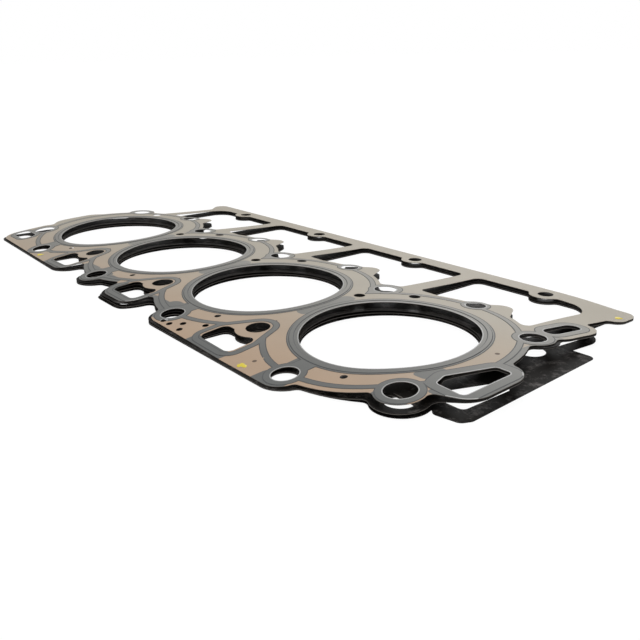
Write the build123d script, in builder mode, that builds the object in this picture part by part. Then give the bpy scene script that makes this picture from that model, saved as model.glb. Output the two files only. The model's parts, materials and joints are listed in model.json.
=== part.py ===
from build123d import *
import os

# Multi-layer steel head gasket for one bank of four bores. Four sheets are
# clinched together along the near edge and spring apart elsewhere: the bottom
# sheet lies flat, the two inner sheets bow a little and the top one arches.
# X runs along the bores, Y across them and Z up. The origin is on the
# underside, halfway between the two middle bores.

# Bores and head bolts
bore_count = 4
bore_pitch = 118
bore_radius = 49.6  # in the bottom sheet
bore_setback = 0.6  # the sprung sheets stand this much back from it
bolt_near_y = -47.5
bolt_far_y = 52
bolt_radius = 7.2
dowel_radius = 8.2  # the near end holes clear a dowel sleeve
end_inset = 1  # the end bolts stand this much inside the pitch

# Outline
land_radius = 75
boss_radius = 13
lug_radius = 12.5
lug_y = -71.5
lower_margin = 2  # the lower sheets' bosses stand out past the top's
closing_radius = 4  # rounds every inside corner of the outline

# Oil drain windows, coolant holes and small holes
drain_width = 31
drain_height = 19
drain_fillet = 4.5
drain_offset = -1.5  # from the bolt beside it
coolant_radius = 7.3
ear_hole_radius = 6.2
vent_radius = 3.6
pin_radius = 2

# Ladder over the timing side
rail_inner = 127
rail_width = 13.5
window_bottom = 58
member_left = 45.5  # from a bore's middle to its window's left edge
member_right = 60
end_member = 12
window_fillet = 6
end_fillet = 15  # outer far corner of the two end windows
rail_boss_radius = 10.5
rail_hole_radius = 5

# Openings past the right end bore
passage_radius = 5
passage_y = 68
passage_length = 15
slot_length = 34.5
slot_height = 20
slot_lean = 18  # how far the slot's inner side leans towards the bore
slot_middle_y = -13.75

# Sheets
beaded_thickness = 0.25
spacer_thickness = 0.3
coating = 0.04  # rubber coat between two clinched sheets
ring_thickness = 0.12
ring_width = 4
rivet_radius = 1.2
rivet_head_radius = 2.2
rivet_head_height = 0.3

# Printed sealing bands, with a raised bead round each bore
print_height = 0.12
bore_band = 57
bead_inner = 52.6
bead_outer = 54.8
bead_height = 0.35
loop_inner = 68
loop_outer = 72
hole_band = 4.2  # width of the band round a hole
drain_band = 5.5  # outer reach of the band round a drain window and its bolt
drain_gap = 1.3  # bare strip between that band and the window
slot_band = 6

# The formed sheets: where each bends and how high its upper face stands
blank_margin = 8  # the blanks run at least this far past the outline
clinch_y = -75  # the flange beyond it lies flat
crown_y = 20.7
shoulder_y = 72
top_crown = 8.7
top_shoulder = 6.9
top_far = 3.4
lift_y = -50
inner_crown_y = 0
inner_far_y = 52
stopper_crown = 4.2
stopper_shoulder = 2.6
stopper_far = 1.9
spacer_crown = 2.1
spacer_shoulder = 1.3
spacer_far = 0.75
bend_radius = 130

os.makedirs("parts", exist_ok=True)

bores = [(index - (bore_count - 1) / 2) * bore_pitch for index in range(bore_count)]
webs = [(index - bore_count / 2) * bore_pitch for index in range(1, bore_count)]
end_x = bore_count / 2 * bore_pitch - end_inset
rail_outer = rail_inner + rail_width
near_reach = lug_y - lug_radius - blank_margin
far_reach = rail_outer + blank_margin + 1.5
half_length = end_x + slot_height + slot_length + 0.5
ladder_right = end_x + 1
ladder_left = -end_x + 19
near_bolts = [(x, bolt_near_y) for x in webs]
far_bolts = [(x, bolt_far_y) for x in webs]
near_ends = [(-end_x, bolt_near_y), (end_x, bolt_near_y)]
far_ends = [(-end_x, bolt_far_y - 2), (end_x, bolt_far_y - 2)]
drains = [x + drain_offset for x in webs]
drain_y = lug_y + 4
coolant_holes = [(x, lug_y + 0.5) for x in bores]
ear_holes = [(x - 0.5, land_radius - 3) for x in bores]
rail_holes = [(x + 8, rail_outer - rail_boss_radius) for x in bores]
vents = [(x - 35.5, bolt_far_y + 3) for x in bores]
web_vents = [(x, bore_radius - 20) for x in webs]
pins = [(x + 26, -54.5) for x in bores]
mark_offsets = [(24.5, 0.5), (38, -7), (32.5, -12.5), (45, -12.5), (52, -12.5)]
mark_holes = [(drains[2] - dx, drain_y + dy) for dx, dy in mark_offsets]
rivets = [(drains[2] + 34, lug_y - 8), (drains[0] - 40, lug_y - 6.5)]
passage_ends = [(end_x - 0.5, passage_y), (end_x + 1, passage_y + passage_length)]
left_slot = (-end_x - 1, lug_y + 6)
slot_right = end_x + 23.5
slot_corners = [
    (slot_right, slot_middle_y + slot_length / 2),
    (slot_right - slot_height / 2, slot_middle_y + slot_length / 2),
    (slot_right - slot_height, slot_middle_y - slot_length / 2 + slot_lean / 2),
    (slot_right - slot_height + 3, slot_middle_y - slot_length / 2),
    (slot_right, slot_middle_y - slot_length / 2),
]


def lug(*centres, radius):
    """A plate drawn tight round equal circles."""
    with BuildSketch() as circles:
        with Locations(*centres):
            Circle(radius)
    return make_hull(circles.edges())


def rounded_polygon(corners, radius):
    """A straight-sided plate or opening with round corners."""
    with BuildSketch() as plate:
        with BuildLine():
            FilletPolyline(*corners, radius=radius, close=True)
        make_face()
    return plate.sketch


def window(index):
    """One bay of the ladder, with its far corners rounded."""
    left = bores[index] - member_left
    right = bores[index] + member_right
    left_fillet = right_fillet = window_fillet
    if index == 0:
        left = ladder_left + end_member - 2
        left_fillet = end_fillet
    if index == bore_count - 1:
        right = ladder_right - end_member - 3
        right_fillet = end_fillet
    with BuildSketch() as bay:
        with Locations(((left + right) / 2, (window_bottom + rail_inner) / 2)):
            Rectangle(right - left, rail_inner - window_bottom)
        fillet(bay.vertices().group_by(Axis.Y)[-1].sort_by(Axis.X)[0], left_fillet)
        fillet(bay.vertices().group_by(Axis.Y)[-1].sort_by(Axis.X)[-1], right_fillet)
    return bay.sketch


def ladder():
    """The rail along the far side and the members that carry it."""
    middle_x = (ladder_left + ladder_right) / 2
    with BuildSketch() as frame:
        with Locations((middle_x, (rail_outer + window_bottom) / 2)):
            Rectangle(ladder_right - ladder_left, rail_outer - window_bottom)
        for index in range(bore_count):
            add(window(index), mode=Mode.SUBTRACT)
    return frame.sketch


def outline(margin):
    """One sheet's outer shape, with its bosses and lugs margin larger."""
    radius = lug_radius + margin
    inset_y = lug_y + 20
    first, middle, last = drains
    pieces = [
        # Near edge: two long plates and a lobe round the middle drain
        lug((bores[2], lug_y), (bores[3], lug_y), (bores[2] + 30, -50), (bores[3] - 20, -50), radius=radius),
        lug((first + 8, lug_y), (first + 8, inset_y), (-end_x - 6, lug_y + 3), (-end_x - 4, -45), radius=radius),
        lug((middle - 10, lug_y), (middle + 8, lug_y), (middle + 8, inset_y), (middle - 10, inset_y), radius=radius),
        # Corner tabs of the ladder
        lug((ladder_right, rail_outer - 7.5), (ladder_right, rail_outer - 13.5), radius=7.5),
        lug((ladder_left - 5, rail_outer - 7), (ladder_left + 5, rail_outer - 17), radius=7),
        # Right end: lugs round the oil passage and the chain slot
        lug(*passage_ends, radius=13.5),
        lug((slot_right - 6.5, slot_middle_y + 11), (slot_right - 6.5, slot_middle_y - 8),
            (end_x + 5, slot_middle_y - 14), (end_x, slot_middle_y + 14), radius=14),
        # Left end lug
        lug((-end_x - 9, -20), (-end_x - 9, 2), (-end_x + 5, 20), radius=14),
        ladder(),
    ]
    # Two ears on each land, one with a hole and one beside it
    for x in bores:
        pieces.append(lug((x + 12, land_radius + 4), (x + 4, 70), (x + 20, 66), radius=8))
    with BuildSketch() as shape:
        with Locations(*[(x, 0) for x in bores]):
            Circle(land_radius)
        with Locations(*near_ends):
            Circle(boss_radius + margin)
        with Locations(*far_bolts, *far_ends):
            Circle(boss_radius - 1 + margin)
        with Locations((bores[1], lug_y)):
            Circle(radius - 0.5)
        with Locations(*ear_holes):
            Circle(ear_hole_radius + 2.8)
        with Locations(*rail_holes):
            Circle(rail_boss_radius)
        # The ladder's members widen over each window's near left corner
        with Locations(*[(x - member_left + 6, window_bottom) for x in bores[1:]]):
            Rectangle(20, 23)
        add(pieces)
    grown = offset(shape.sketch.face(), amount=closing_radius, kind=Kind.ARC)
    return offset(grown, amount=-closing_radius, kind=Kind.ARC)


def drain(x):
    """One drain window: a round-cornered opening that the bolt's boss bites into."""
    with BuildSketch() as opening:
        with Locations((x, drain_y)):
            RectangleRounded(drain_width, drain_height, drain_fillet)
        with Locations((x - drain_offset, bolt_near_y)):
            Circle(boss_radius + 0.5, mode=Mode.SUBTRACT)
    return opening.sketch


def passages(dowel, setback, small_holes=True):
    """Every hole through one sheet."""
    with BuildSketch() as holes:
        with Locations(*[(x, 0) for x in bores]):
            Circle(bore_radius + setback)
        with Locations(*near_bolts, *far_bolts, *far_ends):
            Circle(bolt_radius)
        with Locations(*near_ends):
            Circle(dowel)
        with Locations(*coolant_holes):
            Circle(coolant_radius)
        with Locations(*ear_holes):
            Circle(ear_hole_radius)
        with Locations(*rail_holes):
            Circle(rail_hole_radius)
        with Locations(*rivets):
            Circle(rivet_radius)
        if small_holes:
            with Locations(*vents, *web_vents):
                Circle(vent_radius)
            with Locations(*pins, *mark_holes):
                Circle(pin_radius)
        with Locations(left_slot):
            RectangleRounded(25, 13, 5)
        add([drain(x) for x in drains])
        add(lug(*passage_ends, radius=passage_radius))
        add(rounded_polygon(slot_corners, 3))
    return holes.sketch


def formed(profile, thickness, side):
    """A sheet blank: the profile of its upper face given a thickness and run
    along the bores."""
    with BuildPart() as blank:
        with BuildSketch(Plane.YZ):
            with BuildLine():
                add(profile)
                offset(amount=thickness, side=side)
            make_face()
        extrude(amount=half_length, both=True)
    return blank.part


def pressed(plan, blank):
    """A plan view cut out of a formed blank."""
    with BuildPart() as sheet:
        add(blank)
        with BuildSketch():
            add(plan)
        extrude(amount=12, mode=Mode.INTERSECT)
    return sheet.part


def house(x, spread):
    """The shape drawn round a drain window and the bolt above it."""
    with BuildSketch() as shapes:
        with Locations((x - drain_offset, bolt_near_y)):
            Circle(bolt_radius + spread)
        with Locations((x, drain_y)):
            RectangleRounded(drain_width + 2 * spread, drain_height + 2 * spread, drain_fillet + spread)
    return make_hull(shapes.edges())


# Upper faces, as profiles in the YZ plane
bottom_top = beaded_thickness
spacer_top = bottom_top + coating + spacer_thickness
stopper_top = spacer_top + coating + beaded_thickness
stack_top = stopper_top + coating + beaded_thickness

with BuildLine() as top_profile:
    flange = Line((near_reach, stack_top), (clinch_y, stack_top))
    arch = ThreePointArc(flange @ 1, (crown_y, top_crown), (shoulder_y, top_shoulder))
    TangentArc(arch @ 1, (far_reach, top_far), tangent=arch % 1)

with BuildLine() as stopper_profile:
    FilletPolyline(
        (near_reach, stopper_top),
        (lift_y, stopper_top),
        (inner_crown_y, stopper_crown),
        (inner_far_y, stopper_shoulder),
        (far_reach, stopper_far),
        radius=bend_radius,
    )

with BuildLine() as spacer_profile:
    FilletPolyline(
        (near_reach, spacer_top),
        (lift_y, spacer_top),
        (inner_crown_y, spacer_crown),
        (inner_far_y, spacer_shoulder),
        (far_reach, spacer_far),
        radius=bend_radius,
    )

# Plan views
top_outline = outline(0)
top_passages = passages(dowel_radius, bore_setback)
top_plan = top_outline - top_passages
lower_outline = outline(lower_margin)
inner_plan = lower_outline - passages(dowel_radius, bore_setback, small_holes=False)

slot_land = offset(rounded_polygon(slot_corners, 3), amount=slot_band)
with BuildSketch() as seal_bands:
    with Locations(*[(x, 0) for x in bores]):
        Circle(loop_outer)
    with Locations(*[(x, 0) for x in bores]):
        Circle(loop_inner, mode=Mode.SUBTRACT)
    add([house(x, drain_band) for x in drains])
    add([house(x, drain_gap) for x in drains], mode=Mode.SUBTRACT)
    with Locations(*[(x, 0) for x in bores]):
        Circle(bore_band)
    with Locations(*coolant_holes):
        Circle(coolant_radius + hole_band)
    with Locations(*[(x, -58) for x in bores]):
        Rectangle(13, 10)
    with Locations(*near_ends):
        Circle(dowel_radius + hole_band)
    with Locations(*far_bolts, *far_ends):
        Circle(bolt_radius + hole_band)
    with Locations(*ear_holes):
        Circle(ear_hole_radius + 3)
    with Locations(left_slot):
        RectangleRounded(33, 21, 9)
    add(slot_land)
    add(lug(*passage_ends, radius=passage_radius + slot_band - 1))
    add(top_outline, mode=Mode.INTERSECT)
    add(top_passages, mode=Mode.SUBTRACT)

with BuildSketch() as beads:
    with Locations(*[(x, 0) for x in bores]):
        Circle(bead_outer)
        Circle(bead_inner, mode=Mode.SUBTRACT)

with BuildPart() as top_layer:
    add(pressed(top_plan, formed(top_profile.line, beaded_thickness, Side.RIGHT)))
top_layer.part.label = "top_layer"
export_step(top_layer.part, "parts/top_layer.step")

with BuildPart() as stopper_layer:
    add(pressed(inner_plan, formed(stopper_profile.line, beaded_thickness, Side.RIGHT)))
stopper_layer.part.label = "stopper_layer"
export_step(stopper_layer.part, "parts/stopper_layer.step")

with BuildPart() as spacer_layer:
    add(pressed(inner_plan, formed(spacer_profile.line, spacer_thickness, Side.RIGHT)))
spacer_layer.part.label = "spacer_layer"
export_step(spacer_layer.part, "parts/spacer_layer.step")

# The bottom sheet alone carries a spare tab past the right end bolts
tab_corners = [
    (end_x - 10, 67.5),
    (end_x + 27, 67.5),
    (end_x + 33.5, -36),
    (end_x + 31, -41.5),
    (end_x + 17, -44),
    (end_x - 10, -20),
]
with BuildPart() as bottom_layer:
    with BuildSketch():
        add(lower_outline)
        add(rounded_polygon(tab_corners, 4))
        with Locations(*far_ends):
            Circle(boss_radius)
        add(passages(bolt_radius, 0), mode=Mode.SUBTRACT)
    extrude(amount=beaded_thickness)
bottom_layer.part.label = "bottom_layer"
export_step(bottom_layer.part, "parts/bottom_layer.step")

with BuildPart() as top_sealing_print:
    add(pressed(seal_bands.sketch, formed(top_profile.line, print_height, Side.LEFT)))
    add(pressed(beads.sketch, formed(top_profile.line, bead_height, Side.LEFT)))
top_sealing_print.part.label = "top_sealing_print"
export_step(top_sealing_print.part, "parts/top_sealing_print.step")

ring_blank = formed(stopper_profile.line, ring_thickness, Side.LEFT)
for index, x in enumerate(bores, start=1):
    with BuildSketch() as annulus:
        with Locations((x, 0)):
            Circle(bore_radius + bore_setback + ring_width)
            Circle(bore_radius + bore_setback, mode=Mode.SUBTRACT)
    with BuildPart() as stopper_ring:
        add(pressed(annulus.sketch, ring_blank))
    stopper_ring.part.label = f"stopper_ring_{index}"
    export_step(stopper_ring.part, f"parts/stopper_ring_{index}.step")

with BuildPart() as rivet_group:
    with BuildSketch():
        with Locations(*rivets):
            Circle(rivet_radius)
    extrude(amount=stack_top)
    with BuildSketch(Plane.XY.offset(stack_top)):
        with Locations(*rivets):
            Circle(rivet_head_radius)
    extrude(amount=rivet_head_height)
rivet_group.part.label = "rivets"
export_step(rivet_group.part, "parts/rivets.step")
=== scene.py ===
# %% [markdown]
# # A multi-layer steel head gasket
# Four thin perforated sheets are clinched together along one edge and spring
# apart elsewhere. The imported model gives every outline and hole. Here each
# sheet is laid again as a smooth, slightly sagging spring sheet, and gets its
# printed bands, pressed beads, bright cut edges and coatings.

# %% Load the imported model
import json
import math

import bmesh
import bpy
from mathutils import Matrix, Vector
from mathutils.bvhtree import BVHTree


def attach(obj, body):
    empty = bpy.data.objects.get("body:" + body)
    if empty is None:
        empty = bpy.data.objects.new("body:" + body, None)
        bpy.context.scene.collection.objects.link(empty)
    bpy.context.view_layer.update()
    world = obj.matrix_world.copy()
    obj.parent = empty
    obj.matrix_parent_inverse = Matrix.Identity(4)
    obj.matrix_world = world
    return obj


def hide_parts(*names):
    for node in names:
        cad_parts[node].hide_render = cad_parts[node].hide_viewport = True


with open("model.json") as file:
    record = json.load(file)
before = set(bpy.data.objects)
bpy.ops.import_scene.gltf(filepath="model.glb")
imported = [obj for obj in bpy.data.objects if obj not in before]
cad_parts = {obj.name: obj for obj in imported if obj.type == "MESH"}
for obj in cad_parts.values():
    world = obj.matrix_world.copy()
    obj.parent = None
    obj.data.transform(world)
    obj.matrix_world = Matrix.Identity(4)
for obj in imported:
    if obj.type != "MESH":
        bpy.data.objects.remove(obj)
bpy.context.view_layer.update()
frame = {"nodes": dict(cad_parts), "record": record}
nodes = frame["nodes"]
MM = 0.001
print("nodes:", sorted(nodes))


# %% [markdown]
# ## Where the main features lie
# Bores, bolts and drain windows repeat at one pitch, so every bead and field
# of paint is placed from that pitch. The mounts in the record give the bores,
# and half a pitch past the last bore gives the end of the row.

# %% Places
mounts = {mount["name"]: mount for mount in frame["record"]["mounts"]}
BORES = [Vector(mounts[f"bore_{i}"]["pos_m"]).xy / MM for i in range(1, 5)]
PITCH = BORES[1].x - BORES[0].x
WEBS = [bore.x + PITCH / 2 for bore in BORES[:-1]]
END_X = BORES[-1].x + PITCH / 2 - 1
SHEET = 0.25  # thickness of the beaded sheets
SPACER = 0.3
PRINT = 0.12
print("bores at", [round(bore.x, 1) for bore in BORES], "webs at", WEBS, "ends at", END_X)


# %% [markdown]
# ## How a sprung sheet lies
# On the bench the top sheet is held down only at its two clinches and at one
# far corner. Between them it bellies up, so its height is a smooth field:
# a long arch across the bores, a fuller belly along the near edge, and local
# dips or lifts. Python functions of x and y are the plainest way to give it,
# and every piece that lies on the sheet uses the same one.

# %% Heights of the three sprung sheets, in millimetres
CLINCHES = [Vector((150.5, -79.5)), Vector((-160.5, -78.0))]
CORNER = Vector((238.0, 131.0))
NEAR_BOLT_Y = -47.5
BOLT_BOSS = Vector((END_X, NEAR_BOLT_Y))
STACK = 1.17  # height of the four sheets pressed together
BELLY_HALF = 138  # the near edge bellies between these two sides of the origin
TOP_BELLY = 2.2
BOSS_LIFT, BOSS_REACH = 1.7, 24
CLINCH_REACH, CORNER_REACH = 13, 26  # how far a held-down spot pulls the sheet
TUCK_FROM, TUCK_OVER = 208, 26  # the inner sheets rise to the top one over this length
TUCK_CLEAR = 20  # but not round the near bolt boss
PRESSED_STOPPER = 0.88
PRESSED_SPACER = 0.59


def hump(x, y, centre, reach):
    """1 at the centre, falling smoothly to nothing past the reach."""
    away = ((x - centre.x) ** 2 + (y - centre.y) ** 2) / reach ** 2
    return math.exp(-away)


def eased(value):
    """0 to 1 with level ends."""
    value = min(max(value, 0.0), 1.0)
    return value * value * (3 - 2 * value)


def along(y, stations):
    """Straight stretches between (y, height) stations, level past the ends."""
    if y <= stations[0][0]:
        return stations[0][1]
    for (y0, h0), (y1, h1) in zip(stations, stations[1:]):
        if y <= y1:
            share = (y - y0) / (y1 - y0)
            return h0 + (h1 - h0) * share
    return stations[-1][1]


def mid_length(x):
    """1 at the middle of the row, falling to nothing past the outer webs."""
    return max(0.0, 1 - (x / BELLY_HALF) ** 2)


def near_belly(x, y):
    """1 at the middle of the near edge, nothing past the outer webs."""
    return mid_length(x) * eased((-18 - y) / 58)


def top_height(x, y):
    """Upper face of the top sheet."""
    if y < 72:
        level = 8.71 - 0.0006885 * (y - 20.7) ** 2
    else:
        level = 6.9 - 0.0705 * (y - 72) + 0.00033 * (y - 72) ** 2
    level = max(level, STACK) + TOP_BELLY * near_belly(x, y)
    level += BOSS_LIFT * hump(x, y, BOLT_BOSS, BOSS_REACH)
    for clinch in CLINCHES:
        level += (STACK - level) * hump(x, y, clinch, CLINCH_REACH)
    level += (STACK + 0.25 - level) * hump(x, y, CORNER, CORNER_REACH)
    return level


STOPPER_LINE = [(-60, PRESSED_STOPPER), (-50, 0.98), (-25, 2.3), (0, 3.75), (26, 3.45), (52, 2.65),
                (150, 1.9)]
SPACER_LINE = [(-60, PRESSED_SPACER), (-50, 0.64), (-25, 1.25), (0, 1.95), (26, 1.75), (52, 1.32),
               (150, 0.78)]


def inner_height(stations, pressed, belly, under):
    """The upper face of an inner sheet, given its height where it is clinched
    and how far under the top sheet it hangs at the tab end."""
    def height(x, y):
        level = along(y, stations) + belly * near_belly(x, y)
        level += 1.5 * belly * mid_length(x) * math.exp(-((y + 52) / 26) ** 2)
        tucked = eased((x - TUCK_FROM) / TUCK_OVER) * (1 - hump(x, y, BOLT_BOSS, TUCK_CLEAR))
        level += (top_height(x, y) - under - level) * tucked
        return level + (pressed - level) * hump(x, y, CORNER, CORNER_REACH)
    return height


stopper_height = inner_height(STOPPER_LINE, PRESSED_STOPPER, belly=1.45, under=0.65)
spacer_height = inner_height(SPACER_LINE, PRESSED_SPACER, belly=0.55, under=1.2)
print("top sheet at the crown", round(top_height(59, 20), 2),
      "and over a clinch", round(top_height(*CLINCHES[0]), 2))


# %% [markdown]
# ## Taking a sheet's plan and laying it again
# A stamped sheet is a flat plan that has been bent. A copy of the packed
# sheet is flattened to that plan, cut into a light grid so that it can bend,
# lifted to its height and given its thickness by extrusion. The grid keeps
# every hole and outline as drawn.

# %% Sheet tools
MERGE = 0.002 * MM
CREASE = 0.5  # radians; a sharper fold than this keeps a hard edge
GRID_TOP = (9, 7)
GRID_INNER = (30, 7)


def flat_plan(node, bead=None):
    """The upper face of a packed sheet as one flat bmesh. Faces whose middle
    lies on a bead get material 1."""
    plan = bmesh.new()
    plan.from_mesh(node.data)
    bmesh.ops.remove_doubles(plan, verts=plan.verts, dist=MERGE)
    plan.normal_update()
    under = [face for face in plan.faces if face.normal.z < 0.5]
    bmesh.ops.delete(plan, geom=under, context="FACES")
    for vert in plan.verts:
        vert.co.z = 0
    bmesh.ops.remove_doubles(plan, verts=plan.verts, dist=MERGE)
    if bead:
        for face in plan.faces:
            face.material_index = int(bead(face.calc_center_median() / MM))
    bmesh.ops.dissolve_limit(plan, angle_limit=0.02, verts=plan.verts, edges=plan.edges,
                             delimit={"MATERIAL"})
    return plan


def cut_grid(plan, step_x, step_y):
    """Parallel cuts both ways, so that the plan can bend."""
    low = [min(vert.co[axis] for vert in plan.verts) for axis in (0, 1)]
    high = [max(vert.co[axis] for vert in plan.verts) for axis in (0, 1)]
    for axis, step in ((0, step_x * MM), (1, step_y * MM)):
        normal = Vector((1, 0, 0)) if axis == 0 else Vector((0, 1, 0))
        for index in range(1, int((high[axis] - low[axis]) / step) + 1):
            place = normal * (low[axis] + index * step)
            near = [face for face in plan.faces
                    if min(v.co[axis] for v in face.verts) < place[axis]
                    < max(v.co[axis] for v in face.verts)]
            edges = {edge for face in near for edge in face.edges}
            verts = {vert for face in near for vert in face.verts}
            bmesh.ops.bisect_plane(plan, geom=list(verts) + list(edges) + near, dist=0.0001 * MM,
                                   plane_co=place, plane_no=normal)


def lay(plan, height, lift=0.0):
    """Raises a flat plan to its height above the bench."""
    for vert in plan.verts:
        x, y = vert.co.x / MM, vert.co.y / MM
        vert.co.z += (height(x, y) + lift) * MM


def thicken(plan, thickness):
    """Gives the laid plan a lower face and side walls."""
    made = bmesh.ops.extrude_face_region(plan, geom=plan.faces[:], use_keep_orig=True)
    lower = [item for item in made["geom"] if isinstance(item, bmesh.types.BMVert)]
    bmesh.ops.translate(plan, vec=(0, 0, -thickness * MM), verts=lower)
    bmesh.ops.recalc_face_normals(plan, faces=plan.faces)


def as_piece(mesh, name, slot, materials, *replaced):
    """Makes a finished mesh an object of the part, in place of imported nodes."""
    for face in mesh.faces:
        face.smooth = True
    for edge in mesh.edges:
        edge.smooth = edge.is_manifold and edge.calc_face_angle() < CREASE
    data = bpy.data.meshes.new(name)
    mesh.to_mesh(data)
    mesh.free()
    for material in materials:
        data.materials.append(material)
    piece = bpy.data.objects.new(name, data)
    bpy.context.scene.collection.objects.link(piece)
    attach(piece, "root")
    if replaced:
        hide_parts(*replaced)
    triangles = sum(len(polygon.vertices) - 2 for polygon in data.polygons)
    print(name, "triangles", triangles)


# %% [markdown]
# ## Shared shader effects
# The coating is never quite even: it has slow cloudy changes of tone and a
# very fine grain. One node group makes both, so the tan sheet, the grey print
# and the black sheets share it with their own strengths. A second group draws
# one round-cornered field of paint, which is all that the printing needs.

# %% Node helpers
def new_group(name, inputs, outputs):
    group = bpy.data.node_groups.new(name, "ShaderNodeTree")
    for label, kind, value in inputs:
        socket = group.interface.new_socket(name=label, in_out="INPUT", socket_type=kind)
        socket.default_value = value
    for label, kind in outputs:
        group.interface.new_socket(name=label, in_out="OUTPUT", socket_type=kind)
    return group, group.nodes.new("NodeGroupInput"), group.nodes.new("NodeGroupOutput")


def plug(tree, socket, value):
    """Links a socket, or sets it to a plain value."""
    if isinstance(value, bpy.types.NodeSocket):
        tree.links.new(value, socket)
    elif value is not None:
        socket.default_value = value


def math_node(tree, operation, a, b=None, c=None, clamp=False):
    node = tree.nodes.new("ShaderNodeMath")
    node.operation = operation
    node.use_clamp = clamp
    plug(tree, node.inputs[0], a)
    plug(tree, node.inputs[1], b)
    plug(tree, node.inputs[2], c)
    return node.outputs[0]


def vector_node(tree, operation, a, b=None):
    node = tree.nodes.new("ShaderNodeVectorMath")
    node.operation = operation
    plug(tree, node.inputs[0], a)
    plug(tree, node.inputs[1], b)
    return node


def noise_node(tree, vector, scale, detail, rough=0.5):
    node = tree.nodes.new("ShaderNodeTexNoise")
    node.inputs["Scale"].default_value = scale
    node.inputs["Detail"].default_value = detail
    node.inputs["Roughness"].default_value = rough
    tree.links.new(vector, node.inputs["Vector"])
    return node.outputs["Fac"]


def mix_colour(tree, factor, a, b, mode="MIX"):
    node = tree.nodes.new("ShaderNodeMix")
    node.data_type = "RGBA"
    node.blend_type = mode
    plug(tree, node.inputs[0], factor)
    plug(tree, node.inputs[6], a)
    plug(tree, node.inputs[7], b)
    return node.outputs[2]


# %% Coating group: cloudy tone, fine grain and patches of painted reflection
def build_coating_group():
    group, given, made = new_group(
        "coating",
        [("Colour", "NodeSocketColor", (0.5, 0.5, 0.5, 1)),
         ("Edge Colour", "NodeSocketColor", (0.5, 0.5, 0.5, 1)),
         ("Reflection Patch Colour", "NodeSocketColor", (0.5, 0.5, 0.5, 1)),
         ("Reflection Patch", "NodeSocketFloat", 0.0), ("Roughness", "NodeSocketFloat", 0.5),
         ("Cloud", "NodeSocketFloat", 0.1), ("Grain", "NodeSocketFloat", 0.1)],
        [("Colour", "NodeSocketColor"), ("Roughness", "NodeSocketFloat"), ("Height", "NodeSocketFloat")],
    )
    place = group.nodes.new("ShaderNodeTexCoord").outputs["Object"]
    cloud = noise_node(group, place, 28, 4)
    grain = noise_node(group, place, 1800, 3, 0.7)
    patch_noise = noise_node(group, place, 90, 6, 0.75)
    shade = math_node(group, "MULTIPLY", math_node(group, "SUBTRACT", cloud, 0.5), given.outputs["Cloud"])
    speck = math_node(group, "MULTIPLY", math_node(group, "SUBTRACT", grain, 0.5), given.outputs["Grain"])
    level = math_node(group, "ADD", math_node(group, "ADD", shade, speck), 1.0)
    toned = vector_node(group, "SCALE", given.outputs["Colour"])
    group.links.new(level, toned.inputs["Scale"])
    # lighter patches mixed in here are painted reflection
    patch_mask = math_node(group, "MULTIPLY", math_node(group, "SUBTRACT", patch_noise, 0.52), 5.0, clamp=True)
    smudged = mix_colour(group, math_node(group, "MULTIPLY", patch_mask, given.outputs["Reflection Patch"]),
                         toned.outputs[0], given.outputs["Reflection Patch Colour"])
    normal = group.nodes.new("ShaderNodeNewGeometry").outputs["True Normal"]
    split = group.nodes.new("ShaderNodeSeparateXYZ")
    group.links.new(normal, split.inputs[0])
    edge = math_node(group, "LESS_THAN", math_node(group, "ABSOLUTE", split.outputs["Z"]), 0.5)
    group.links.new(mix_colour(group, edge, smudged, given.outputs["Edge Colour"]), made.inputs["Colour"])
    clouded = math_node(group, "MULTIPLY", shade, 0.6)
    rough = math_node(group, "ADD", given.outputs["Roughness"], clouded, clamp=True)
    group.links.new(rough, made.inputs["Roughness"])
    group.links.new(grain, made.inputs["Height"])
    return group


COATING = build_coating_group()
print("coating group sockets:", len(COATING.interface.items_tree))


# %% Field group: one round-cornered field of paint, in millimetres
def build_field_group():
    group, given, made = new_group(
        "paint_field",
        [("Centre", "NodeSocketVector", (0, 0, 0)), ("Half Size", "NodeSocketVector", (1, 1, 100)),
         ("Corner", "NodeSocketFloat", 1.0)],
        [("Mask", "NodeSocketFloat")],
    )
    place = group.nodes.new("ShaderNodeTexCoord").outputs["Object"]
    scaled = vector_node(group, "SCALE", place)
    scaled.inputs["Scale"].default_value = 1 / MM
    away = vector_node(group, "SUBTRACT", scaled.outputs[0], given.outputs["Centre"])
    inside = vector_node(group, "SUBTRACT", vector_node(group, "ABSOLUTE", away.outputs[0]).outputs[0],
                         given.outputs["Half Size"])
    over = vector_node(group, "MAXIMUM", inside.outputs[0], (0, 0, 0))
    length = vector_node(group, "LENGTH", over.outputs[0]).outputs["Value"]
    depth = math_node(group, "SUBTRACT", given.outputs["Corner"], length)
    group.links.new(math_node(group, "MULTIPLY_ADD", depth, 3.0, 0.5, clamp=True), made.inputs["Mask"])
    return group


FIELD = build_field_group()


def far_reflection_ramp(tree):
    """0 along the near right edge, rising to 1 across and along the sheet: how far painted reflection
    pales the far side.
    """
    place = tree.nodes.new("ShaderNodeTexCoord").outputs["Object"]
    split = tree.nodes.new("ShaderNodeSeparateXYZ")
    tree.links.new(place, split.inputs[0])
    across = math_node(tree, "MULTIPLY", math_node(tree, "ADD", split.outputs["Y"], 0.085), 8.0)
    along_row = math_node(tree, "MULTIPLY", math_node(tree, "SUBTRACT", 0.1, split.outputs["X"]), 1.6)
    return math_node(tree, "ADD", across, along_row, clamp=True)


def painted(tree, fields):
    """The union of several fields, each (x, y, half width, half height, corner)."""
    union = None
    for x, y, half_width, half_height, corner in fields:
        node = tree.nodes.new("ShaderNodeGroup")
        node.node_tree = FIELD
        node.inputs["Centre"].default_value = (x, y, 0)
        node.inputs["Half Size"].default_value = (half_width, half_height, 100)
        node.inputs["Corner"].default_value = corner
        mask = node.outputs["Mask"]
        union = mask if union is None else math_node(tree, "MAXIMUM", union, mask)
    return union


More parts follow.
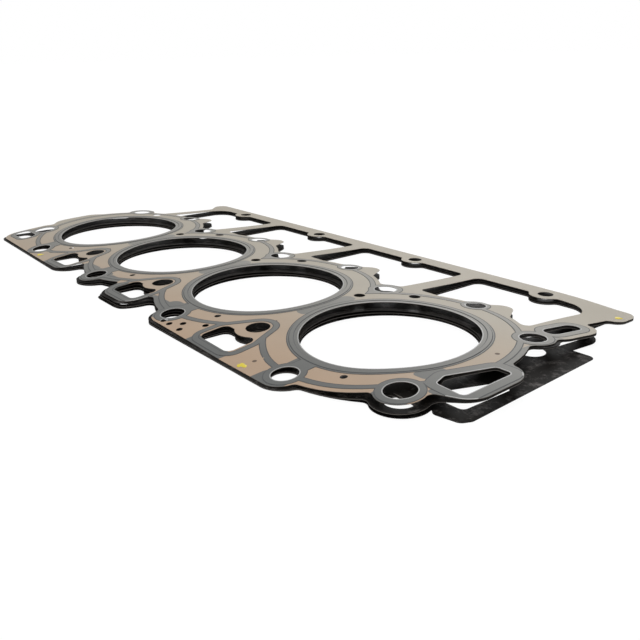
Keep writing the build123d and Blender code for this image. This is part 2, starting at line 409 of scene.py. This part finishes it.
# %% Coated sheet materials
def coat_node(tree, colour, edge, roughness, cloud, grain, smudge=0.0, smudge_colour=(0.5, 0.5, 0.5)):
    coat = tree.nodes.new("ShaderNodeGroup")
    coat.node_tree = COATING
    plug(tree, coat.inputs["Colour"], colour if isinstance(colour, bpy.types.NodeSocket) else (*colour, 1))
    coat.inputs["Edge Colour"].default_value = (*edge, 1)
    coat.inputs["Reflection Patch Colour"].default_value = (*smudge_colour, 1)
    coat.inputs["Reflection Patch"].default_value = smudge
    coat.inputs["Roughness"].default_value = roughness
    coat.inputs["Cloud"].default_value = cloud
    coat.inputs["Grain"].default_value = grain
    return coat


def finish_coat(tree, coat, bump, specular):
    """Feeds a coating into the material's own shader."""
    shader = tree.nodes["Principled BSDF"]
    shader.inputs["Specular IOR Level"].default_value = specular
    lift = tree.nodes.new("ShaderNodeBump")
    lift.inputs["Strength"].default_value = bump
    lift.inputs["Distance"].default_value = 0.1 * MM
    tree.links.new(coat.outputs["Height"], lift.inputs["Height"])
    tree.links.new(lift.outputs["Normal"], shader.inputs["Normal"])
    tree.links.new(coat.outputs["Colour"], shader.inputs["Base Color"])
    tree.links.new(coat.outputs["Roughness"], shader.inputs["Roughness"])


def new_material(name):
    material = bpy.data.materials.new(name)
    material.use_nodes = True
    return material, material.node_tree


def coated(name, *look, bump=0.2, specular=0.5, **smudges):
    """A material that is one coating all over."""
    material, tree = new_material(name)
    finish_coat(tree, coat_node(tree, *look, **smudges), bump, specular)
    return material


GREY_PAINT = (0.125, 0.128, 0.124)
# the grey print's far tone is paler: painted reflection
GREY_FAR_REFLECTION = (0.27, 0.262, 0.24)
# dark print edge, also used as painted shade on the bead flanks
PRINT_EDGE_AND_BEAD_SHADE = coated("print_edge_and_bead_shade", (0.085, 0.088, 0.088), (0.06, 0.06, 0.06), 0.55, 0.2, 0.1, specular=0.25)
CUT = coated("cut_edge", (0.38, 0.38, 0.37), (0.42, 0.42, 0.41), 0.4, 0.25, 0.1)
# The black coating gets lighter patches of painted reflection on its faces.
BLACK = coated("black_coating", (0.008, 0.007, 0.006), (0.035, 0.032, 0.03), 0.5, 0.5, 0.3, specular=0.05,
               smudge=1.0, smudge_colour=(0.13, 0.12, 0.115))
STEEL = coated("spacer_coating", (0.008, 0.007, 0.006), (0.13, 0.12, 0.11), 0.5, 0.5, 0.3, specular=0.05)
RING = coated("ring_steel", (0.03, 0.028, 0.026), (0.06, 0.057, 0.054), 0.4, 0.2, 0.1, specular=0.2)
YELLOW = coated("inspection_dab", (0.72, 0.58, 0.03), (0.6, 0.47, 0.03), 0.4, 0.5, 0.3)
print("plain coatings made")


# %% [markdown]
# The top sheet's coating is tan, and grey print runs over it to the very edge
# round the drain lobes, the coolant lug and the right-hand lug. Its far side is
# painted paler, a painted reflection, by a slow gradient across the sheet.

# %% Tan coating with its fields of grey
# Each field is (x, y, half width, half height, corner radius).
GREY_FIELDS = [(-2, -76, 17, 5, 6), (-59, -73, 8, 5, 6), (31, -69, 8, 2, 4), (-38, -70, 6, 2, 4)]
GREY_FIELDS += [(-82, -68, 8, 2, 4)]
GREY_FIELDS += [(web - 1.5, -83, 15, 4, 3) for web in WEBS]
GREY_FIELDS += [(web, 3, 1, 17, 4) for web in WEBS]
GREY_FIELDS += [(264, -13, 2, 24, 3), (254, -36, 8, 2, 2), (257, 9, 7, 3, 2)]
GREY_FIELDS += [(231, -24, 2, 5, 3), (236, -54, 6, 4, 4), (176, -80, 6, 3, 5)]
GREY_FIELDS += [(bore.x - 1.5, -60, 5.5, 8, 2) for bore in BORES]
GREY_FIELDS += [(52, -70, 6, 6, 6)]
# Two shallow dimples are only painted: dark brown spots of painted shade, with no depth.
DIMPLE_SHADE = [(151, -72, 0, 0, 1.3), (238, 17, 0, 0, 1.3)]
END_FIELD = [(252, 31, 9, 29, 2)]
END_LOOP = [(BORES[-1].x, 0, 0, 0, 70)]


def build_grey():
    material, tree = new_material("grey_print")
    # grey print, paler towards the far side as painted reflection
    paint = mix_colour(tree, far_reflection_ramp(tree), (*GREY_PAINT, 1), (*GREY_FAR_REFLECTION, 1))
    finish_coat(tree, coat_node(tree, paint, (0.12, 0.12, 0.12), 0.55, 0.22, 0.12), 0.2, 0.3)
    return material


GREY = build_grey()


def build_tan():
    material, tree = new_material("tan_coating")
    far_reflection = far_reflection_ramp(tree)
    # tan, paler and greyer towards the far side as painted reflection
    tan = mix_colour(tree, far_reflection, (0.42, 0.305, 0.215, 1), (0.40, 0.365, 0.305, 1))
    past_loop = math_node(tree, "SUBTRACT", painted(tree, END_FIELD), painted(tree, END_LOOP),
                          clamp=True)
    grey = math_node(tree, "MAXIMUM", painted(tree, GREY_FIELDS), past_loop)
    paint = mix_colour(tree, far_reflection, (*GREY_PAINT, 1), (*GREY_FAR_REFLECTION, 1))
    both = mix_colour(tree, grey, tan, paint)
    # painted shade for the two dimples
    both = mix_colour(tree, painted(tree, DIMPLE_SHADE), both, (0.12, 0.085, 0.06, 1))
    finish_coat(tree, coat_node(tree, both, (0.12, 0.10, 0.085), 0.55, 0.16, 0.10), 0.15, 0.25)
    return material


TAN = build_tan()
print("tan coating with", len(GREY_FIELDS), "fields")


# %% [markdown]
# ## The top sheet
# It is the sheet that everyone sees: tan, perforated and slightly bellied.

# %% Top sheet
top_plan = flat_plan(nodes["top_layer"])
flat_top = BVHTree.FromBMesh(top_plan)
cut_grid(top_plan, *GRID_TOP)
lay(top_plan, top_height)
thicken(top_plan, SHEET)
as_piece(top_plan, "top_sheet", "tan_coating", [TAN], "top_layer")


# %% [markdown]
# ## The printed bands
# Elastomer is printed on the sheet in bands. Each band has a slightly raised,
# darker edge, and at an opening the sheet's bright cut edge shows instead.
# Insetting the plan's border gives that narrow strip, and a ray straight down
# beside each strip tells whether the sheet goes on there or ends.
# Round each bore a pressed bead runs under the print, and its two flanks get the dark edge colour as
# painted shade.

# %% Printed bands
BEAD_INNER = 52.6
BEAD_OUTER = 54.8
PRESSED_INNER = 52.7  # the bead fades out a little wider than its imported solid
PRESSED_OUTER = 55.8
BEAD_RISE = 0.3
BEAD_FLANK = 0.45
RIM_WIDTH = 0.55
PLAIN, DARK_EDGE_AND_BEAD_SHADE, CUT_EDGE = 0, 1, 2  # places in the list of materials


def on_bead(point):
    return any(BEAD_INNER < math.hypot(point.x - bore.x, point.y) < BEAD_OUTER for bore in BORES)


def sheet_goes_on(x, y):
    return flat_top.ray_cast(Vector((x, y, MM)), Vector((0, 0, -1)))[0] is not None


def inset_strips(plan, faces, width, **options):
    """Insets a region and returns the narrow faces along its border."""
    made = bmesh.ops.inset_region(plan, faces=faces, thickness=width * MM, use_even_offset=True, **options)
    return made["faces"]


bands = flat_plan(nodes["top_sealing_print"], on_bead)
bead_faces = [face for face in bands.faces if face.material_index == 1]
for face in bands.faces:
    face.material_index = PLAIN
for vert in {vert for face in bead_faces for vert in face.verts}:
    bore = min(BORES, key=lambda centre: (vert.co.xy / MM - centre).length)
    away = vert.co.xy - bore * MM
    share = (away.length / MM - BEAD_INNER) / (BEAD_OUTER - BEAD_INNER)
    pressed = PRESSED_INNER + share * (PRESSED_OUTER - PRESSED_INNER)
    vert.co.xy = bore * MM + away.normalized() * pressed * MM
bead_shade_flanks = inset_strips(bands, bead_faces, BEAD_FLANK)
crest = {vert for face in bead_faces for vert in face.verts}
strips = inset_strips(bands, bands.faces[:], RIM_WIDTH, use_boundary=True)
# the bead's flanks get the dark edge colour as painted shade
for face in bead_shade_flanks:
    if face.is_valid:
        face.material_index = DARK_EDGE_AND_BEAD_SHADE
for face in strips:
    rim = [edge for edge in face.edges if edge.is_boundary]
    if not rim:
        continue
    middle = (rim[0].verts[0].co + rim[0].verts[1].co) / 2
    outward = middle - face.calc_center_median()
    outward.normalize()
    beyond = middle + outward * 0.3 * MM
    face.material_index = DARK_EDGE_AND_BEAD_SHADE if sheet_goes_on(beyond.x, beyond.y) else CUT_EDGE
for vert in crest:
    if vert.is_valid:
        vert.co.z += BEAD_RISE * MM
cut_grid(bands, *GRID_TOP)
lay(bands, top_height, PRINT)
thicken(bands, PRINT - 0.02)
as_piece(bands, "sealing_bands", "sealing_print", [GREY, PRINT_EDGE_AND_BEAD_SHADE, CUT], "top_sealing_print")


# %% [markdown]
# ## The inner sheets
# The stopper sheet carries a thin welded ring round each bore, and the spacer
# makes up the thickness. Both bow a little and are black. Their plans differ
# from the top sheet's round the middle drain, at the ears and in two bolt holes.

# %% Inner sheets and rings
EAR = Vector((-0.5, 72.0))  # hole in the ear, from the bore's middle
EAR_REACH = Vector((-0.68, 0.73)) * 9


def lengthen_ears(plan):
    """The inner sheets' ears reach further over the timing side."""
    for vert in plan.verts:
        place = vert.co.xy / MM
        for bore in BORES:
            away = place - bore - EAR
            if 8.3 < away.length < 10 and place.y > 73:
                facing = away.normalized().dot(EAR_REACH.normalized())
                vert.co.xy += EAR_REACH * eased((facing + 0.1) / 0.7) * MM


LOBE_X = WEBS[1] - 1.5
LOBE_ROOT, LOBE_WINDOW, LOBE_EDGE = -62, -77, -86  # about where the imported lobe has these


def open_lobe(plan, window_edge, outer_edge):
    """Moves the middle drain's window and outline outwards to the given
    places, so that the lower sheets show past the top one."""
    for vert in plan.verts:
        x, y = vert.co.x / MM, vert.co.y / MM
        weight = eased((24 - abs(x - LOBE_X)) / 8)
        if y > LOBE_ROOT or weight == 0:
            continue
        if y > LOBE_WINDOW:
            share = (y - LOBE_ROOT) / (LOBE_WINDOW - LOBE_ROOT)
            moved = LOBE_ROOT + share * (window_edge - LOBE_ROOT)
        else:
            share = (y - LOBE_WINDOW) / (LOBE_EDGE - LOBE_WINDOW)
            moved = window_edge + share * (outer_edge - window_edge)
        vert.co.y += (moved - y) * weight * MM


NARROWED_REACH = 8.6
NARROWED_SHARE = 0.65


def narrow_bolt_holes(plan):
    """Pulls in the far rims of two near bolt holes. The object doesn't have
    this. It was meant to hide the bench below, and does so only in part at
    the tab end and not at the middle web."""
    for vert in plan.verts:
        for centre in (Vector((WEBS[1], NEAR_BOLT_Y)), BOLT_BOSS):
            away = Vector(vert.co.xy) / MM - centre
            if away.length < NARROWED_REACH and away.y > 0:
                vert.co.y -= NARROWED_SHARE * away.y * MM


for node_name, slot, thickness, height, material in (
    ("stopper_layer", "black_coating", SHEET, stopper_height, BLACK),
    ("spacer_layer", "spacer_steel", SPACER, spacer_height, STEEL),
):
    plan = flat_plan(nodes[node_name])
    narrow_bolt_holes(plan)
    if node_name == "stopper_layer":
        lengthen_ears(plan)
        open_lobe(plan, LOBE_WINDOW, -86.3)
    else:
        open_lobe(plan, -83.6, -86.6)
    cut_grid(plan, *GRID_INNER)
    lay(plan, height)
    thicken(plan, thickness)
    as_piece(plan, node_name.replace("layer", "sheet"), slot, [material], node_name)

for index in range(1, 5):
    plan = flat_plan(nodes[f"stopper_ring_{index}"])
    cut_grid(plan, *GRID_INNER)
    lay(plan, stopper_height, 0.12)
    thicken(plan, 0.11)
    as_piece(plan, f"bore_ring_{index}", "ring_steel", [RING], f"stopper_ring_{index}")


# %% [markdown]
# ## The bottom sheet and the rivets
# The bottom sheet lies flat on the bench and carries the spare tab. Only its
# middle drain lobe is changed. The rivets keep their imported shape.

# %% Bottom sheet
bottom_plan = flat_plan(nodes["bottom_layer"])
open_lobe(bottom_plan, -84.4, -88.2)
lay(bottom_plan, lambda x, y: SHEET)
thicken(bottom_plan, SHEET)
as_piece(bottom_plan, "bottom_sheet", "black_coating", [BLACK], "bottom_layer")

rivet_materials = nodes["rivets"].data.materials
rivet_materials.clear()
rivet_materials.append(CUT)
print("rivets dressed")


# %% [markdown]
# ## Inspection dabs
# After clinching, a dab of yellow paint marks each joint as checked. A dab
# spreads into a low uneven blob, so it starts as a sphere, is flattened and
# gets a slightly lobed edge.

# %% Yellow dabs
def dab(name, x, y, reach, turn):
    """A lobed blob of paint lying on the top sheet."""
    blob = bmesh.new()
    bmesh.ops.create_uvsphere(blob, u_segments=28, v_segments=14, radius=1)
    for vert in blob.verts:
        angle = math.atan2(vert.co.y, vert.co.x) + turn
        lobe = 1 + 0.14 * math.sin(3 * angle) + 0.08 * math.sin(5 * angle + 1)
        vert.co.x *= reach * lobe
        vert.co.y *= reach * 0.8 * lobe
        vert.co.z *= 0.45
    bmesh.ops.translate(blob, verts=blob.verts, vec=(x, y, top_height(x, y) + 0.1))
    bmesh.ops.scale(blob, verts=blob.verts, vec=(MM, MM, MM))
    as_piece(blob, name, "rivet_steel", [YELLOW])


dab("dab_right", *CLINCHES[0], 3.0, 0.3)
dab("dab_left", *CLINCHES[1], 3.0, 1.4)
dab("dab_corner", 237.5, 128.5, 2.2, 2.2)


# %% [markdown]
# ## Camera, floor and light
# The camera stands low off one corner, so the row of bores runs away from it.
# The floor turns plain white for the camera away from the part and keeps its
# shadow near it, and three soft lamps light the sheets.

# %% Camera
CAMERA_AIM = Vector((0.1188, -0.0030, 0.0))
CAMERA_DISTANCE = 0.4591
CAMERA_AZIMUTH = math.radians(52.22)
CAMERA_ELEVATION = math.radians(19.40)
CAMERA_ROLL = math.radians(-1.30)
camera_data = bpy.data.cameras.new("camera")
camera_data.sensor_width = 36
camera_data.lens = 42.37
camera_data.clip_start = 0.01
camera_data.clip_end = 100
camera = bpy.data.objects.new("camera", camera_data)
bpy.context.scene.collection.objects.link(camera)
looking = Vector((-math.sin(CAMERA_AZIMUTH) * math.cos(CAMERA_ELEVATION),
                  math.cos(CAMERA_AZIMUTH) * math.cos(CAMERA_ELEVATION), -math.sin(CAMERA_ELEVATION)))
turn = looking.to_track_quat("-Z", "Y").to_matrix().to_4x4() @ Matrix.Rotation(CAMERA_ROLL, 4, "Z")
camera.matrix_world = Matrix.Translation(CAMERA_AIM - looking * CAMERA_DISTANCE) @ turn
bpy.context.scene.camera = camera
print("camera at", [round(v, 3) for v in camera.matrix_world.translation])


# %% Floor
floor_mesh = bmesh.new()
bmesh.ops.create_grid(floor_mesh, x_segments=1, y_segments=1, size=40)
floor_data = bpy.data.meshes.new("floor")
floor_mesh.to_mesh(floor_data)
floor_mesh.free()
floor = bpy.data.objects.new("floor", floor_data)
bpy.context.scene.collection.objects.link(floor)
FLOOR = bpy.data.materials.new("floor_white")
FLOOR.use_nodes = True
tree = FLOOR.node_tree
shader = tree.nodes["Principled BSDF"]
shader.inputs["Base Color"].default_value = (0.9, 0.9, 0.9, 1)
shader.inputs["Roughness"].default_value = 0.8
glow = tree.nodes.new("ShaderNodeEmission")
glow.inputs["Strength"].default_value = 1.04
path = tree.nodes.new("ShaderNodeLightPath")
place = tree.nodes.new("ShaderNodeTexCoord").outputs["Object"]
reach = vector_node(tree, "LENGTH", place).outputs["Value"]
away = math_node(tree, "MULTIPLY", math_node(tree, "SUBTRACT", reach, 0.45), 1.5, clamp=True)
plain = math_node(tree, "ADD", math_node(tree, "MULTIPLY", away, 0.15), 0.85, clamp=True)
share = math_node(tree, "MULTIPLY", path.outputs["Is Camera Ray"], plain)
blend = tree.nodes.new("ShaderNodeMixShader")
tree.links.new(share, blend.inputs[0])
tree.links.new(shader.outputs[0], blend.inputs[1])
tree.links.new(glow.outputs[0], blend.inputs[2])
tree.links.new(blend.outputs[0], tree.nodes["Material Output"].inputs["Surface"])
floor.data.materials.append(FLOOR)

print("floor made")

# %% World and lamps
world = bpy.data.worlds.new("studio")
bpy.context.scene.world = world
world.use_nodes = True
wtree = world.node_tree
sky = wtree.nodes["Background"]
sky.inputs["Color"].default_value = (1, 1, 1, 1)
sky.inputs["Strength"].default_value = 0.5
white = wtree.nodes.new("ShaderNodeBackground")
white.inputs["Color"].default_value = (1, 1, 1, 1)
white.inputs["Strength"].default_value = 1.0
wpath = wtree.nodes.new("ShaderNodeLightPath")
wmix = wtree.nodes.new("ShaderNodeMixShader")
wtree.links.new(wpath.outputs["Is Camera Ray"], wmix.inputs[0])
wtree.links.new(sky.outputs[0], wmix.inputs[1])
wtree.links.new(white.outputs[0], wmix.inputs[2])
wtree.links.new(wmix.outputs[0], wtree.nodes["World Output"].inputs["Surface"])


def soft_lamp(name, place, aim, size, power):
    data = bpy.data.lights.new(name, "AREA")
    data.shape = "DISK"
    data.size = size
    data.energy = power
    lamp = bpy.data.objects.new(name, data)
    bpy.context.scene.collection.objects.link(lamp)
    direction = Vector(aim) - Vector(place)
    lamp.matrix_world = Matrix.Translation(place) @ direction.to_track_quat("-Z", "Y").to_matrix().to_4x4()


soft_lamp("overhead", (0.0, 0.1, 1.1), (0, 0, 0), 0.9, 5.5)
soft_lamp("front", (0.7, -0.9, 0.8), (0, 0, 0), 0.9, 2.5)
soft_lamp("back", (-0.5, 1.0, 0.6), (0, 0, 0), 0.8, 3)
bpy.context.scene.view_settings.view_transform = "Standard"

# %% [markdown]
